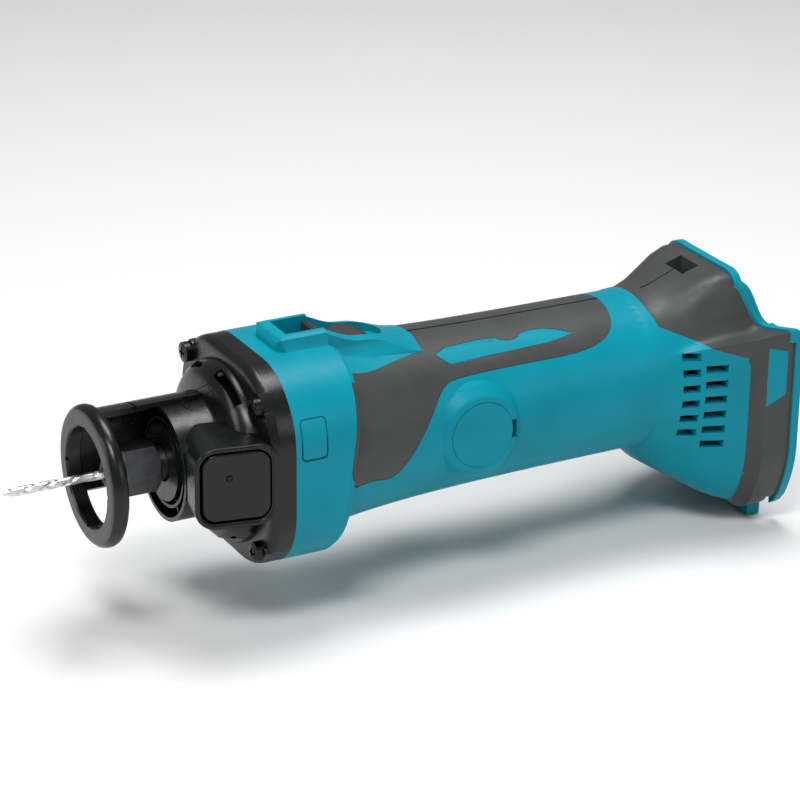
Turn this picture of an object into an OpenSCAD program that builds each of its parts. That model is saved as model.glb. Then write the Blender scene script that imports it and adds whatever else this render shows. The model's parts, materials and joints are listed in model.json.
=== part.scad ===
// Cordless cut-out tool for plasterboard, without its battery pack.
// X runs back from the shoe face to the battery foot, Y to the far side, Z up to the slide switch.
// The origin is on the spindle axis, in the face of the shoe that rests on the board.

/* [Shoe] */
// Outer radius of the shoe ring
shoe_r = 25.3; // [25:0.1:26]
// Radius of the window in the ring
shoe_hole_r = 17.9; // [16:0.1:18.5]
// Thickness of the ring
shoe_t = 6; // [5:0.5:7]
// Length of the curved leg behind the ring
leg_l = 12.6; // [11:0.2:13]
// Wall of the curved leg
leg_wall = 2.4; // [2.2:0.1:2.8]
// Lower end of the leg, in degrees below the far side
leg_low = 38; // [36:1:42]
// Radius of the leg and of its guide on the nose
leg_r = 23.1; // [23:0.1:23.8]
// How far the shoe can be drawn out
shoe_travel = 14; // [12:1:15]
// Thickness of the sliding tongue
tongue_t = 1.8; // [1.5:0.1:1.8]
// Length of the tongue behind the leg
tongue_l = 29.4; // [28:0.2:29.6]

/* [Nose] */
// Distance from the shoe face to the nose face
nose_x = 28.3; // [27:0.1:29]
// Outer radius of the nose tube
nose_r = 21.1; // [21:0.1:21.3]
// Wall of the nose tube
nose_wall = 1.5; // [1.2:0.1:1.8]
// Length of the nose up to the fan cowl
nose_l = 15.7; // [15.5:0.1:16.5]
// Radius of the spindle guard inside the nose
guard_r = 13.8; // [13.6:0.1:14.2]
// Radius of the spindle hole in the guard
guard_hole_r = 6.9; // [6.7:0.1:7.5]
// Number of ribs in the nose
nose_ribs = 8; // [6:1:12]

/* [Flange] */
// Length of the domed fan cowl
cowl_l = 8.4; // [8.2:0.1:9]
// Radius of the cowl where it meets the flange
cowl_r = 33.4; // [33:0.1:34.4]
// Length of the flange
flange_l = 9.6; // [9:0.1:10.5]
// Half width of the flange and of the body behind it
body_half = 38.4; // [38:0.1:39]
// Half height of the flange and of the body behind it
body_high = 37.6; // [37.2:0.1:38.4]
// Corner radius of the flange and body
body_corner = 26.5; // [25:0.5:27.5]
// Sideways distance of the flange screws from the axis
screw_y = 28.4; // [28:0.1:28.6]
// Height of the flange screws above the axis
screw_z = 27.2; // [26.8:0.1:27.4]

/* [Body] */
// Length of the wide body behind the joint
wide_l = 24; // [23:0.5:26]
// Radius of the round handle
handle_r = 29.7; // [29.5:0.1:30.3]
// Height of the handle centre above the spindle axis
handle_z = 1.3; // [1:0.1:1.5]
// Extra radius of the handle just behind the wide body
saddle_rise = 4.8; // [4:0.2:5]
// Length of the handle up to the flare of the foot
handle_l = 129; // [127:1:132]
// Length of the flare
flare_l = 35; // [34:1:37]
// Half width of the battery foot
foot_half = 39.3; // [38.6:0.1:40]
// Length of the battery foot behind the flare
foot_l = 21; // [20:0.5:23]
// Depth of the foot below the axis
foot_drop = 55.6; // [55:0.2:56.4]
// Height of the foot shoulders
shoulder_z = 21.2; // [20.5:0.1:21.5]
// Height of the hood over the terminals
hood_z = 40.6; // [40:0.2:41]
// Half width of the hood
hood_half = 22.5; // [21.5:0.1:23]
// Thickness of the soft grip layer
grip_t = 1.6; // [1.4:0.1:1.8]
// Gap in the seam between the two housing halves
seam = 0.1; // [0.06:0.02:0.12]

/* [Switch] */
// Half width of the raised switch bezel
bezel_half = 10; // [9.6:0.1:10.4]
// Height of the bezel above the axis
bezel_z = 42.5; // [42.2:0.1:43]
// Width of the thumb knob
knob_w = 12.4; // [12:0.1:13]
// Length of the thumb knob
knob_l = 24; // [23:0.5:25]
// Travel of the thumb knob
switch_travel = 10; // [8:0.5:10.5]

/* [Shaft lock] */
// Width of the shaft lock button along the tool
button_w = 24; // [23:0.5:24.5]
// Height of the shaft lock button
button_h = 25; // [24:0.5:25.5]
// Travel of the shaft lock button
button_travel = 3.5; // [3:0.1:3.6]
// Lean of the button face towards the nose, in degrees
button_lean = 11; // [9:1:12]
// Radius of the lock pin
pin_r = 2.5; // [2.4:0.1:2.6]

/* [Depth clamp] */
// Distance of the lever pivot from the axis
lever_y = 27.4; // [27.2:0.1:27.8]
// Length of the lever paddle
lever_l = 20; // [17:1:21]
// Half width of the lever
lever_half = 7.2; // [6.6:0.1:7.4]
// Radius of the lever pin
lever_pin_r = 1.5; // [1.4:0.1:1.6]

/* [Motor] */
// Radius of the cutting bit
bit_r = 1.59; // [1.5:0.01:1.6]
// Reach of the bit beyond the shoe face
bit_reach = 30.4; // [26:0.2:34]
// Width across the flats of the collet nut
nut_af = 16.6; // [16.2:0.1:17]
// Radius of the spindle at the front bearing
spindle_r = 4; // [3.9:0.05:4.1]
// Outer radius of the front bearing
bearing_r = 11; // [10.8:0.1:11.2]
// Width of the front bearing
bearing_w = 7; // [6.6:0.1:7.2]
// Radius of the fan
fan_r = 31; // [29:0.5:32]
// Number of fan blades
fan_blades = 17; // [13:2:21]
// Outer radius of the motor yoke
yoke_r = 25; // [24.6:0.1:25.2]
// Length of the motor yoke
yoke_l = 44; // [43:0.5:45]
// Radius of the armature
rotor_r = 18.6; // [18:0.1:18.8]
// Number of armature slots
rotor_slots = 12; // [8:2:14]
// Radius of the commutator
comm_r = 11; // [10.6:0.1:11.2]
// Distance from the body joint to the brush axis
brush_back = 77; // [76.5:0.5:78]
// Radius of the brush access cover
cover_r = 12.2; // [11.8:0.1:12.6]

/* [Foot] */
// Number of air slots in each column
vent_rows = 6; // [4:1:6]
// Spacing of the air slots
vent_pitch = 6.1; // [5.9:0.1:6.2]
// Height of an air slot
vent_h = 2.9; // [2.5:0.1:3.1]
// Half width of the battery bay
bay_half = 31.6; // [31:0.1:32.4]
// Half width between the battery rails
rail_half = 27.6; // [27:0.1:28.4]
// Half width of the raised floor between the rail channels
plateau_half = 22.5; // [21:0.5:24]

/* [Hidden] */
$fn = 64;
run_fit = 0.05;
slide_gap = 0.35;
guard_gap = 0.6;

leg_end = shoe_t + leg_l;
guide_x = leg_end + 0.8;
guide_in = leg_r - 1.5;
tongue_out = guide_in - slide_gap;
tongue_in = tongue_out - tongue_t;
channel_in = tongue_in - slide_gap;
cowl_x = nose_x + nose_l;
flange_x = cowl_x + cowl_l;
joint_x = flange_x + flange_l;
step_x = joint_x + wide_l;
flare_x = step_x + handle_l;
foot_x = flare_x + flare_l;
rim_x = foot_x + foot_l;
step_lean = 7;
step_soft = 2.6;
band_step = 2.8;
band_x = foot_x + 6;
rim_t = 3.2;
rim_proud = 0.9;
bay_floor = rim_x - 7;

boss_x = cowl_x - 3.1;
boss_y = -35.2;
boss_z = 2.5;
frame_wall = 2.8;
pin_x = boss_x - 1.6;
pocket_y = -25;
spring_seat_y = -22;
collar_r = 10;
collar_l = 7;
collar_x = pin_x - collar_l / 2;
pin_tip = collar_r + 0.8;
chamber_r = guard_r - 2;
bearing_x = flange_x + 0.6 - bearing_w;
chamber_end = bearing_x - 1.6;

fan_x = flange_x + 3.4;
fan_l = 10;
baffle_x = fan_x + fan_l + 1.4;
baffle_t = 1.4;
fan_room_r = body_half - 4.4;
brush_x = joint_x + brush_back;
comm_l = 16;
yoke_x = brush_x - 55;
yoke_end = yoke_x + yoke_l;
rear_bearing_r = 9.5;
rear_bearing_x = brush_x + comm_l / 2 + 3;
rear_bearing_w = 6;
rear_r = 3.5;
boot_t = 1.4;

lever_x = nose_x + 5.7;
plate_r = guide_in + 1.3;
lug_t = 3;

knob_x = step_x - 0.6;
link_z = yoke_r + 1.3;
link_t = 1.6;
link_half = 2.6;
switch_x = brush_x + 30;
switch_l = 34;
pocket_half = knob_w / 2 + 0.5;

TEAL = [0, 0.56, 0.64];
BLACK = [0.2, 0.21, 0.21];
RUBBER = [0.27, 0.28, 0.28];
STEEL = [0.72, 0.73, 0.75];
DARK_STEEL = [0.4, 0.41, 0.43];
COPPER = [0.72, 0.42, 0.22];
BRASS = [0.78, 0.66, 0.35];
CARBON = [0.14, 0.14, 0.15];

// Shared shapes

function smooth(a, b, x) = let (t = max(0, min(1, (x - a) / (b - a)))) t * t * (3 - 2 * t);
function mix(a, b, t) = a + (b - a) * t;
function on_circle(r, a) = [r * cos(a), r * sin(a)];
// Corner cutting turns a few control points into a smooth closed outline
function cut_corners(p) = [
    for (i = [0:len(p) - 1]) let (q = p[(i + 1) % len(p)]) each [mix(p[i], q, 0.25), mix(p[i], q, 0.75)]
];
function flowing(p, times) = times == 0 ? p : flowing(cut_corners(p), times - 1);

module along_x(x0, x1) {
    translate([x0, 0, 0]) rotate([90, 0, 90]) linear_extrude(x1 - x0) children();
}

module rod_x(r, x0, x1) {
    translate([x0, 0, 0]) rotate([0, 90, 0]) cylinder(r = r, h = x1 - x0);
}

module tube_x(r_out, r_in, x0, x1) {
    difference() {
        rod_x(r_out, x0, x1);
        rod_x(r_in, x0 - 1, x1 + 1);
    }
}

module rod_y(r, x, z, y0, y1) {
    translate([x, min(y0, y1), z]) rotate([-90, 0, 0]) cylinder(r = r, h = abs(y1 - y0));
}

module turned(profile) {
    rotate([0, 90, 0]) rotate_extrude() polygon(profile);
}

// Part of a tube between two angles, counted from the far side upwards
module tube_sector(r_out, r_in, x0, x1, a0, a1) {
    reach = 2 * r_out;
    steps = ceil((a1 - a0) / 60);
    intersection() {
        tube_x(r_out, r_in, x0, x1);
        along_x(x0 - 1, x1 + 1)
            polygon(concat([[0, 0]], [for (i = [0:steps]) on_circle(reach, a0 + (a1 - a0) * i / steps)]));
    }
}

module rounded_rect(w, h, r) {
    square([w - 2 * r, h], center = true);
    square([w, h - 2 * r], center = true);
    for (sx = [-1, 1], sy = [-1, 1])
        translate([sx * (w / 2 - r), sy * (h / 2 - r)]) circle(r);
}

// A box given by its lowest and highest corner
module block(a, b) {
    translate(a) cube(b - a);
}

module left_half() {
    intersection() {
        children();
        block([0, -60, -80], [300, -seam / 2, 80]);
    }
}

module right_half() {
    intersection() {
        children();
        block([0, seam / 2, -80], [300, 60, 80]);
    }
}

module on_side(side) {
    if (side < 0) children();
    else mirror([0, 1, 0]) children();
}

module flange_screw_places() {
    for (sy = [-1, 1], sz = [-1, 1]) translate([flange_x, sy * screw_y, sz * screw_z]) children();
}

// Housing outline

module body_section(inset) {
    rounded_rect(2 * (body_half - inset), 2 * (body_high - inset), body_corner - inset);
}

// The wide body ends in a plane that leans back towards the bottom
module lean_back() {
    translate([step_x, 0, 0]) rotate([0, step_lean, 0]) children();
}

module wide_body() {
    intersection() {
        along_x(joint_x, step_x + 12) body_section(0);
        lean_back() block([-60, -60, -60], [-step_soft, 60, 60]);
    }
}

// Rounded rear edge of the wide body
module step_edge() {
    intersection() {
        block([joint_x, -60, -60], [step_x + 12, 60, 60]);
        lean_back() hull() {
            along_x(-step_soft - 1, -step_soft - 0.3) body_section(0.3);
            along_x(-0.9, -0.8) body_section(0.7);
            along_x(-0.1, 0) body_section(2.2);
        }
    }
}

function barrel(x, inset) = handle_r + saddle_rise * exp((step_x - x) / 30) - inset;

module handle_body(inset) {
    x_end = flare_x + 0.2;
    steps = 16;
    translate([0, 0, handle_z]) turned(concat(
        [[0, step_x - 8]],
        [for (i = [0:steps]) let (x = mix(step_x - 8, x_end, pow(i / steps, 1.5))) [barrel(x, inset), x]],
        [[0, x_end]]
    ));
}

// Half outline of the foot from the hood down to the bottom, before its corners are rounded off
foot_control = [
    [11, hood_z], [hood_half - 3.4, hood_z + 0.2], [hood_half + 1, hood_z - 4], [hood_half + 3.2, shoulder_z + 7],
    [hood_half + 6, shoulder_z - 0.4], [foot_half - 4.3, shoulder_z - 0.2], [foot_half + 0.3, shoulder_z + 0.2],
    [foot_half, shoulder_z - 6], [foot_half, -14], [foot_half - 0.1, -foot_drop + 20.4],
    [foot_half - 9, -foot_drop + 0.2], [12, -foot_drop]
];
function unit(v) = v / norm(v);
function moved_in(p, d) = [for (i = [0:len(p) - 1]) let (
    along = unit(p[(i + 1) % len(p)] - p[(i + len(p) - 1) % len(p)])
) p[i] + d * [along[1], -along[0]]];
function foot_outline(times) = flowing(concat(
    foot_control, [for (i = [len(foot_control) - 1:-1:0]) [-foot_control[i][0], foot_control[i][1]]]
), times);

// Share of the way from the round handle to the foot, for a point of the outline at a height
function flare_share(x, t) = let (
    side = smooth(flare_x + 3, flare_x + 31, x),
    low = pow(max(0, min(1, (x - flare_x) / (flare_l + 3))), 0.66),
    hood = smooth(flare_x + 4, foot_x - 1, x),
    w = sin(t) * sin(t)
) mix(side, sin(t) < 0 ? low : hood, w);
function flare_ring(x, inset, outline, low_outline) = [for (i = [0:len(outline) - 1]) let (
    t = atan2(outline[i][1] - handle_z, outline[i][0]),
    q = mix(low_outline[i], outline[i], max(
        smooth(foot_x + 1.5, band_x, x), smooth(shoulder_z - 12, shoulder_z + 6, outline[i][1]))),
    c = (handle_r + (x < flare_x ? -1 : 0.35) - inset) * [cos(t), sin(t)] + [0, handle_z],
    p = mix(c, q, flare_share(x, t))
) [x, p[0], p[1]]];

module flare_body(inset, times, steps) {
    outline = moved_in(foot_outline(times), inset + rim_proud);
    low_outline = moved_in(foot_outline(times), inset + rim_proud + band_step);
    stations = concat([flare_x - 2], [for (i = [0:steps]) mix(flare_x + 0.4, foot_x + 1.5, i / steps)],
        [band_x - 2.2, band_x, rim_x - rim_t]);
    rings = [for (x = stations) flare_ring(x, inset, outline, low_outline)];
    n = len(rings[0]);
    last = len(stations) - 1;
    polyhedron(
        points = [for (ring = rings) each ring],
        faces = concat(
            [[for (j = [n - 1:-1:0]) j]],
            [for (i = [0:last - 1], j = [0:n - 1]) each
                let (a = i * n + j, b = i * n + (j + 1) % n) [[a, b + n, a + n], [a, b, b + n]]],
            [[for (j = [0:n - 1]) last * n + j]]
        )
    );
}

// The rear rim follows the battery: straight at the sides, drawn forward over the hood
module hood_notch() {
    hood_rim = foot_x + rim_t;
    corner = rim_x - 2.4;
    notch = [[hood_rim, hood_half], [hood_rim + 2, hood_half + 1], [hood_rim + 4.3, hood_half + 2.5],
             [hood_rim + 7.3, hood_half + 5.5], [corner - 3.6, foot_half - 5.8], [corner, foot_half - 0.8],
             [rim_x + 5, foot_half + 5]];
    translate([0, 0, shoulder_z - 5]) linear_extrude(60) polygon(concat(
        notch, [for (i = [len(notch) - 1:-1:0]) [notch[i][0], -notch[i][1]]]
    ));
}

// Proud rim around the battery opening
module foot_rim() {
    difference() {
        along_x(foot_x, rim_x) polygon(foot_outline(2));
        hood_notch();
        intersection() {
            along_x(foot_x - 1, rim_x - rim_t) square(200, center = true);
            difference() {
                block([0, -60, -80], [rim_x + 9, 60, 80]);
                translate([-rim_t, 0, 0]) hood_notch();
            }
        }
    }
}

module foot_body() {
    difference() {
        flare_body(0, 2, 6);
        translate([0.6 - rim_t, 0, 0]) hood_notch();
    }
}

// Hard core of the foot beneath its soft grip
module foot_core() {
    half = foot_half - rim_proud - band_step - grip_t;
    low = -foot_drop + rim_proud + band_step + grip_t;
    translate([0, 0, handle_z]) rod_x(handle_r - 3, flare_x - 3, foot_x + 3);
    along_x(foot_x + 0.8, rim_x - rim_t + 0.5) polygon([
        [half, shoulder_z - 5.8], [half, low + 14.6], [half - 7.7, low], [-half + 7.7, low], [-half, low + 14.6],
        [-half, shoulder_z - 5.8]
    ]);
}

// Ridge that carries the slide switch, drawn as a side view
bezel_x = joint_x + 6.6;
bezel_end = step_x + 38;
function bezel_top(x) = barrel(x, 0) + handle_z + 0.4 + 3.6 * (1 - smooth(step_x + 18, bezel_end, x))
    + 3.8 * (1 - smooth(step_x - 3, step_x + 14, x));

module bezel_front() {
    points = [[bezel_x, 20], [bezel_x, bezel_z - 4], [bezel_x + 0.5, bezel_z - 2], [bezel_x + 1.6, bezel_z - 0.6],
              [bezel_x + 3.4, bezel_z], [step_x + 2, bezel_z], [step_x + 2, 20]];
    length = step_x + 2 - bezel_x;
    intersection() {
        translate([0, 30, 0]) rotate([90, 0, 0]) linear_extrude(60) polygon(points);
        along_x(bezel_x, step_x + 2) bezel_section(1.8, body_high - 1);
        translate([bezel_x + length, 0, 20]) linear_extrude(40)
            rounded_rect(2 * length, 2 * bezel_half + 5, 7);
    }
}

// Behind the step the ridge is crowned like the handle and runs out into it
module bezel_rear() {
    x0 = step_x + 1.9;
    intersection() {
        translate([0, 0, handle_z]) turned(concat(
            [[0, x0], [bezel_top(x0) - handle_z, x0]],
            [for (i = [1:14]) let (x = mix(x0, bezel_end, i / 14)) [bezel_top(x) - handle_z, x]],
            [[0, bezel_end]]
        ));
        along_x(x0, bezel_end) bezel_section(3, 30.8);
    }
}

// The ridge seen from behind, with a splayed foot
module bezel_section(splay, foot_z) {
    h = bezel_half;
    right = [[h + splay + 2, foot_z - 6], [h + splay, foot_z], [h + splay / 2, foot_z + 1.8],
             [h + 0.4, foot_z + 3.4], [h, foot_z + 5], [h, max(bezel_z - 2, foot_z + 5.1)], [h - 0.6, bezel_z - 0.7],
             [h - 1.8, bezel_z + 0.1]];
    polygon(concat(right, [for (i = [len(right) - 1:-1:0]) [-right[i][0], right[i][1]]]));
}

module bezel_body() {
    bezel_front();
    bezel_rear();
}

module cover_bosses() {
    rise = cover_r + 2.6;
    for (s = [-1, 1]) translate([brush_x, 0, handle_z]) rotate([s * -90, 0, 0]) rotate_extrude() polygon([
        [0, 20], [rise + 3.4, 20], [rise + 3.4, handle_r - 1.6], [rise + 1.6, handle_r + 0.2],
        [rise + 0.6, handle_r + 1.4], [rise - 0.2, handle_r + 2], [rise - 1, handle_r + 2.2], [0, handle_r + 2.2]
    ]);
}

// Soft grip outlines, drawn as side views

grip_control = [
    [81, 28], [84, -9.5], [95, -7.4], [103, -9.4], [109, -4], [119, 10.5], [126, 19.5], [133, 21.1],
    [160, 21.1], [186, 20.9], [199, 24], [204.5, 30], [206.5, 36], [126.5, 36], [124, 29.6],
    [112, 28.9], [97, 27.6], [86, 31]
];
island_control = [
    [127, 28.9], [153, 29.1], [157, 27.7], [162, 27.6], [165.5, 28.9], [177, 28.6], [187, 25.7],
    [133, 25.1], [132, 25.3]
];
foot_grip_control = [
    [219.5, 50], [218.2, 30], [219.5, 24], [232, 18.5], [249, 12], [250.5, 8], [250.5, -80],
    [300, -80], [300, 50]
];

module side_view(points, y0, y1) {
    translate([0, y1, 0]) rotate([90, 0, 0]) linear_extrude(y1 - y0) polygon(points);
}

// Moves a drawn outline with the step of the body
function from_step(p) = [for (q = p) [q[0] - 86 + step_x, q[1]]];
function from_foot(p) = [for (q = p) [q[0] - 250 + foot_x, q[1]]];

module grip_region() {
    difference() {
        side_view(flowing(from_step(grip_control), 2), -60, 60);
        side_view(flowing(from_step(island_control), 1), -60, 60);
    }
}

module foot_grip_region() {
    side_view(from_foot(foot_grip_control), -60, 60);
}

module foot_grip_solid() {
    intersection() {
        foot_grip_region();
        difference() {
            foot_body();
            foot_core();
            foot_rim();
            battery_bay();
            strap_slot();
            bay_tab();
        }
    }
}

module grip_solid() {
    intersection() {
        grip_region();
        difference() {
            union() {
                handle_body(0);
                step_edge();
            }
            handle_body(grip_t);
            wide_body();
            bezel_body();
            cover_bosses();
        }
    }
}

module strap_slot() {
    block([foot_x - 12, -6.2, hood_z - 9], [foot_x - 5, 6.2, hood_z + 5]);
}

// Rear hollow for the switch and wiring, with pillars for the screws
module rear_room() {
    difference() {
        union() {
            rod_x(handle_r - 6, rear_bearing_x + rear_bearing_w + 4, flare_x + 6);
            intersection() {
                turned([[0, flare_x + 1], [24.6, flare_x + 1], [28.4, flare_x + 14], [33, foot_x - 2],
                        [33, bay_floor - 5], [0, bay_floor - 5]]);
                block([flare_x, -50, -50], [bay_floor - 4, 50, 14]);
            }
        }
        for (p = rear_screws) translate([p[0], 0, p[1]]) rod_y(4, 0, 0, -50, 50);
    }
}

// Everything that is cut out of the two housing halves
module housing_room() {
    pocket_end = step_x + 27.6 - pocket_half;
    boot_r = rear_bearing_r + boot_t + run_fit;
    rod_x(fan_room_r, joint_x - 1, baffle_x + baffle_t);
    rod_x(yoke_r + run_fit, joint_x, yoke_end + run_fit);
    rod_x(comm_r + 4, yoke_end - 1, rear_bearing_x - 2.4);
    rod_x(rear_bearing_r - 2, rear_bearing_x - 4, rear_bearing_x + rear_bearing_w + 4.1);
    rod_x(boot_r, rear_bearing_x - boot_t, rear_bearing_x + rear_bearing_w + boot_t);
    rear_room();
    for (s = [-1, 1]) {
        rod_y(8.1, brush_x, 0, s * (handle_r - 7.6), s * (handle_r - 3.2));
        block([brush_x - 4.35, s > 0 ? 11 : -handle_r + 7.5, -5.45], [brush_x + 4.35, s > 0 ? handle_r - 7.5 : -11, 5.45]);
        rod_y(cover_r + 0.15, brush_x, handle_z, s * (handle_r - 3.3), s * (handle_r + 9));
        block([brush_x + cover_r - 0.5, s > 0 ? handle_r - 0.6 : -handle_r - 9, handle_z - 3.6],
              [brush_x + cover_r + 2, s > 0 ? handle_r + 9 : -handle_r + 0.6, handle_z + 3.6]);
    }
    // Slot of the thumb knob and channel of its link
    translate([0, 0, bezel_z - 9.5]) linear_extrude(15) polygon(concat(
        [[joint_x + 11.6, pocket_half], [joint_x + 11.6, -pocket_half]],
        [for (a = [-90:15:90]) [pocket_end, 0] + on_circle(pocket_half, a)]
    ));
    block([joint_x + 12, -link_half - 1, link_z - 0.6], [pocket_end, link_half + 1, bezel_z - 9]);
    block([step_x, -link_half - 0.6, link_z - 0.6],
          [switch_x + 8, link_half + 0.6, link_z + link_t + 0.6]);
    block([switch_x - switch_travel - 6, -link_half - 0.6, 10], [switch_x + 8, link_half + 0.6, link_z + 1]);
    flange_screw_places() rod_x(2.05, -5, flange_l + 18);
    battery_bay();
    block([foot_x + 6, -17.02, -14.02], [bay_floor + 1, 17.02, 7.62]);
    vents();
    strap_slot();
}

module battery_bay() {
    low = -foot_drop - 10;
    difference() {
        block([bay_floor, -bay_half, low], [rim_x + 5, bay_half, 13]);
        for (s = [-1, 1])
            block([rim_x - 3, s > 0 ? rail_half : -bay_half - 1, low],
                  [rim_x, s > 0 ? bay_half + 1 : -rail_half, 8]);
        block([bay_floor - 1, -plateau_half, low - 1], [rim_x - 3.5, plateau_half, -17]);
    }
    block([foot_x - 3, -hood_half + 3.8, 12], [rim_x + 5, hood_half - 3.8, hood_z - 4.8]);
}

module vents() {
    for (s = [-1, 1], column = [0, 1], i = [0:vent_rows - 1]) {
        x0 = foot_x - 25.6 + column * 8.4;
        z0 = 14.2 - i * vent_pitch - column * 5;
        block([x0, s > 0 ? 25 : -45, z0 - vent_h / 2], [x0 + (column == 0 ? 6.6 : 8.4), s > 0 ? 45 : -25,
              z0 + vent_h / 2]);
    }
}

front_screws = [[joint_x + 13, -30.6], [step_x + 20, -27.2]];
rear_screws = [[flare_x - 44, -22], [flare_x - 8, -22], [flare_x - 8, 21], [foot_x - 10, -40]];

module housing_screw_places() {
    for (p = concat(front_screws, rear_screws)) translate([p[0], 0, p[1]]) children();
}

// Outer skin where no soft grip lies, over the cores beneath the grips
module housing_form() {
    wide_body();
    bezel_body();
    cover_bosses();
    handle_body(grip_t);
    difference() {
        union() {
            handle_body(0);
            step_edge();
        }
        grip_region();
    }
    foot_core();
    difference() {
        foot_body();
        foot_grip_region();
    }
    foot_rim();
}

// Floor of the battery bay, which runs on below the foot
module bay_tab() {
    block([rim_x - 9, -plateau_half, -foot_drop - 4.6], [rim_x - 3.5, plateau_half, -foot_drop + 8]);
}

module housing_cut() {
    difference() {
        housing_form();
        housing_room();
    }
    bay_tab();
}

// Shallow outlined field on the near side of the wide body
module panel_groove() {
    translate([joint_x + 7, -body_half + 0.4, 17]) rotate([90, 0, 0]) linear_extrude(3) difference() {
        rounded_rect(10, 18, 2);
        rounded_rect(9.2, 17.2, 1.6);
    }
}

module housing_left() {
    color(TEAL) left_half() difference() {
        housing_cut();
        housing_screw_places() rod_y(1.3, 0, 0, -14, 1);
        panel_groove();
    }
}

module housing_right() {
    color(TEAL) right_half() difference() {
        housing_cut();
        housing_screw_places() {
            rod_y(1.7, 0, 0, -1, 60);
            rod_y(3.2, 0, 0, 10, 60);
        }
    }
}

module grip_left() { color(RUBBER) left_half() grip_solid(); }
module grip_right() { color(RUBBER) right_half() grip_solid(); }
module foot_grip_left() { color(RUBBER) left_half() foot_grip_solid(); }
module foot_grip_right() { color(RUBBER) right_half() foot_grip_solid(); }

module housing_screws() {
    color(DARK_STEEL) housing_screw_places() {
        rod_y(3, 0, 0, 10.05, 12.4);
        rod_y(1.25, 0, 0, -9, 10.1);
    }
}

// Front housing

cowl_profile = [
    [nose_r - nose_wall, cowl_x - 3], [nose_r, cowl_x - 3], [nose_r, cowl_x - 1.4], [nose_r + 0.6, cowl_x - 0.3],
    [nose_r + 2.4, cowl_x + 0.4], [cowl_r - 6, cowl_x + 1.2], [cowl_r - 3.4, cowl_x + 2.4],
    [cowl_r - 1.4, cowl_x + 4.4], [cowl_r - 0.3, cowl_x + 7], [cowl_r, flange_x + 1],
    [nose_r - nose_wall, flange_x + 1]
];

module in_boss_frame() {
    translate([boss_x, boss_y, boss_z]) rotate([0, 0, -button_lean]) children();
}

// Prism that runs inwards from the button face
module button_prism(grow, depth, proud) {
    in_boss_frame() translate([0, depth, 0]) rotate([90, 0, 0]) linear_extrude(depth + proud)
        rounded_rect(button_w + 2 * grow, button_h + 2 * grow, 5 + grow);
}

// Flange with a rounded front edge and a pad under each screw head
module flange_plate() {
    hull() {
        along_x(flange_x, flange_x + 0.1) body_section(3.2);
        along_x(flange_x + 0.9, flange_x + 1) body_section(1.3);
        along_x(flange_x + 2.4, flange_x + 2.5) body_section(0.3);
        along_x(flange_x + 3.8, joint_x) body_section(0.1);
    }
    intersection() {
        flange_screw_places() rod_x(4.8, 0, 4);
        along_x(flange_x, joint_x) body_section(0.1);
    }
}

module guide_shell() {
    difference() {
        union() {
            tube_sector(leg_r, nose_r - 0.5, guide_x, cowl_x + 3, -leg_low, 90);
            for (s = [-1, 1])
                block([lever_x - 4, 18, s > 0 ? lever_half + 0.4 : -lever_half - 0.4 - lug_t],
                      [lever_x + 4, lever_y + 2.2, s > 0 ? lever_half + 0.4 + lug_t : -lever_half - 0.4]);
        }
        tube_sector(guide_in, channel_in, guide_x - 1, flange_x - 3, -28, 80);
        rod_x(guide_in, guide_x - 1, nose_x);
        along_x(lever_x - 4.8, lever_x + 4.8) polygon([[0, 0], on_circle(40, -11), on_circle(40, 11)]);
    }
    for (s = [-1, 1]) difference() {
        block([lever_x - 4, 20, s > 0 ? lever_half + 0.4 : -lever_half - 0.4 - lug_t],
              [lever_x + 4, lever_y + 2.2, s > 0 ? lever_half + 0.4 + lug_t : -lever_half - 0.4]);
        rod_x(guide_in, lever_x - 6, lever_x + 6);
    }
}

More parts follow.
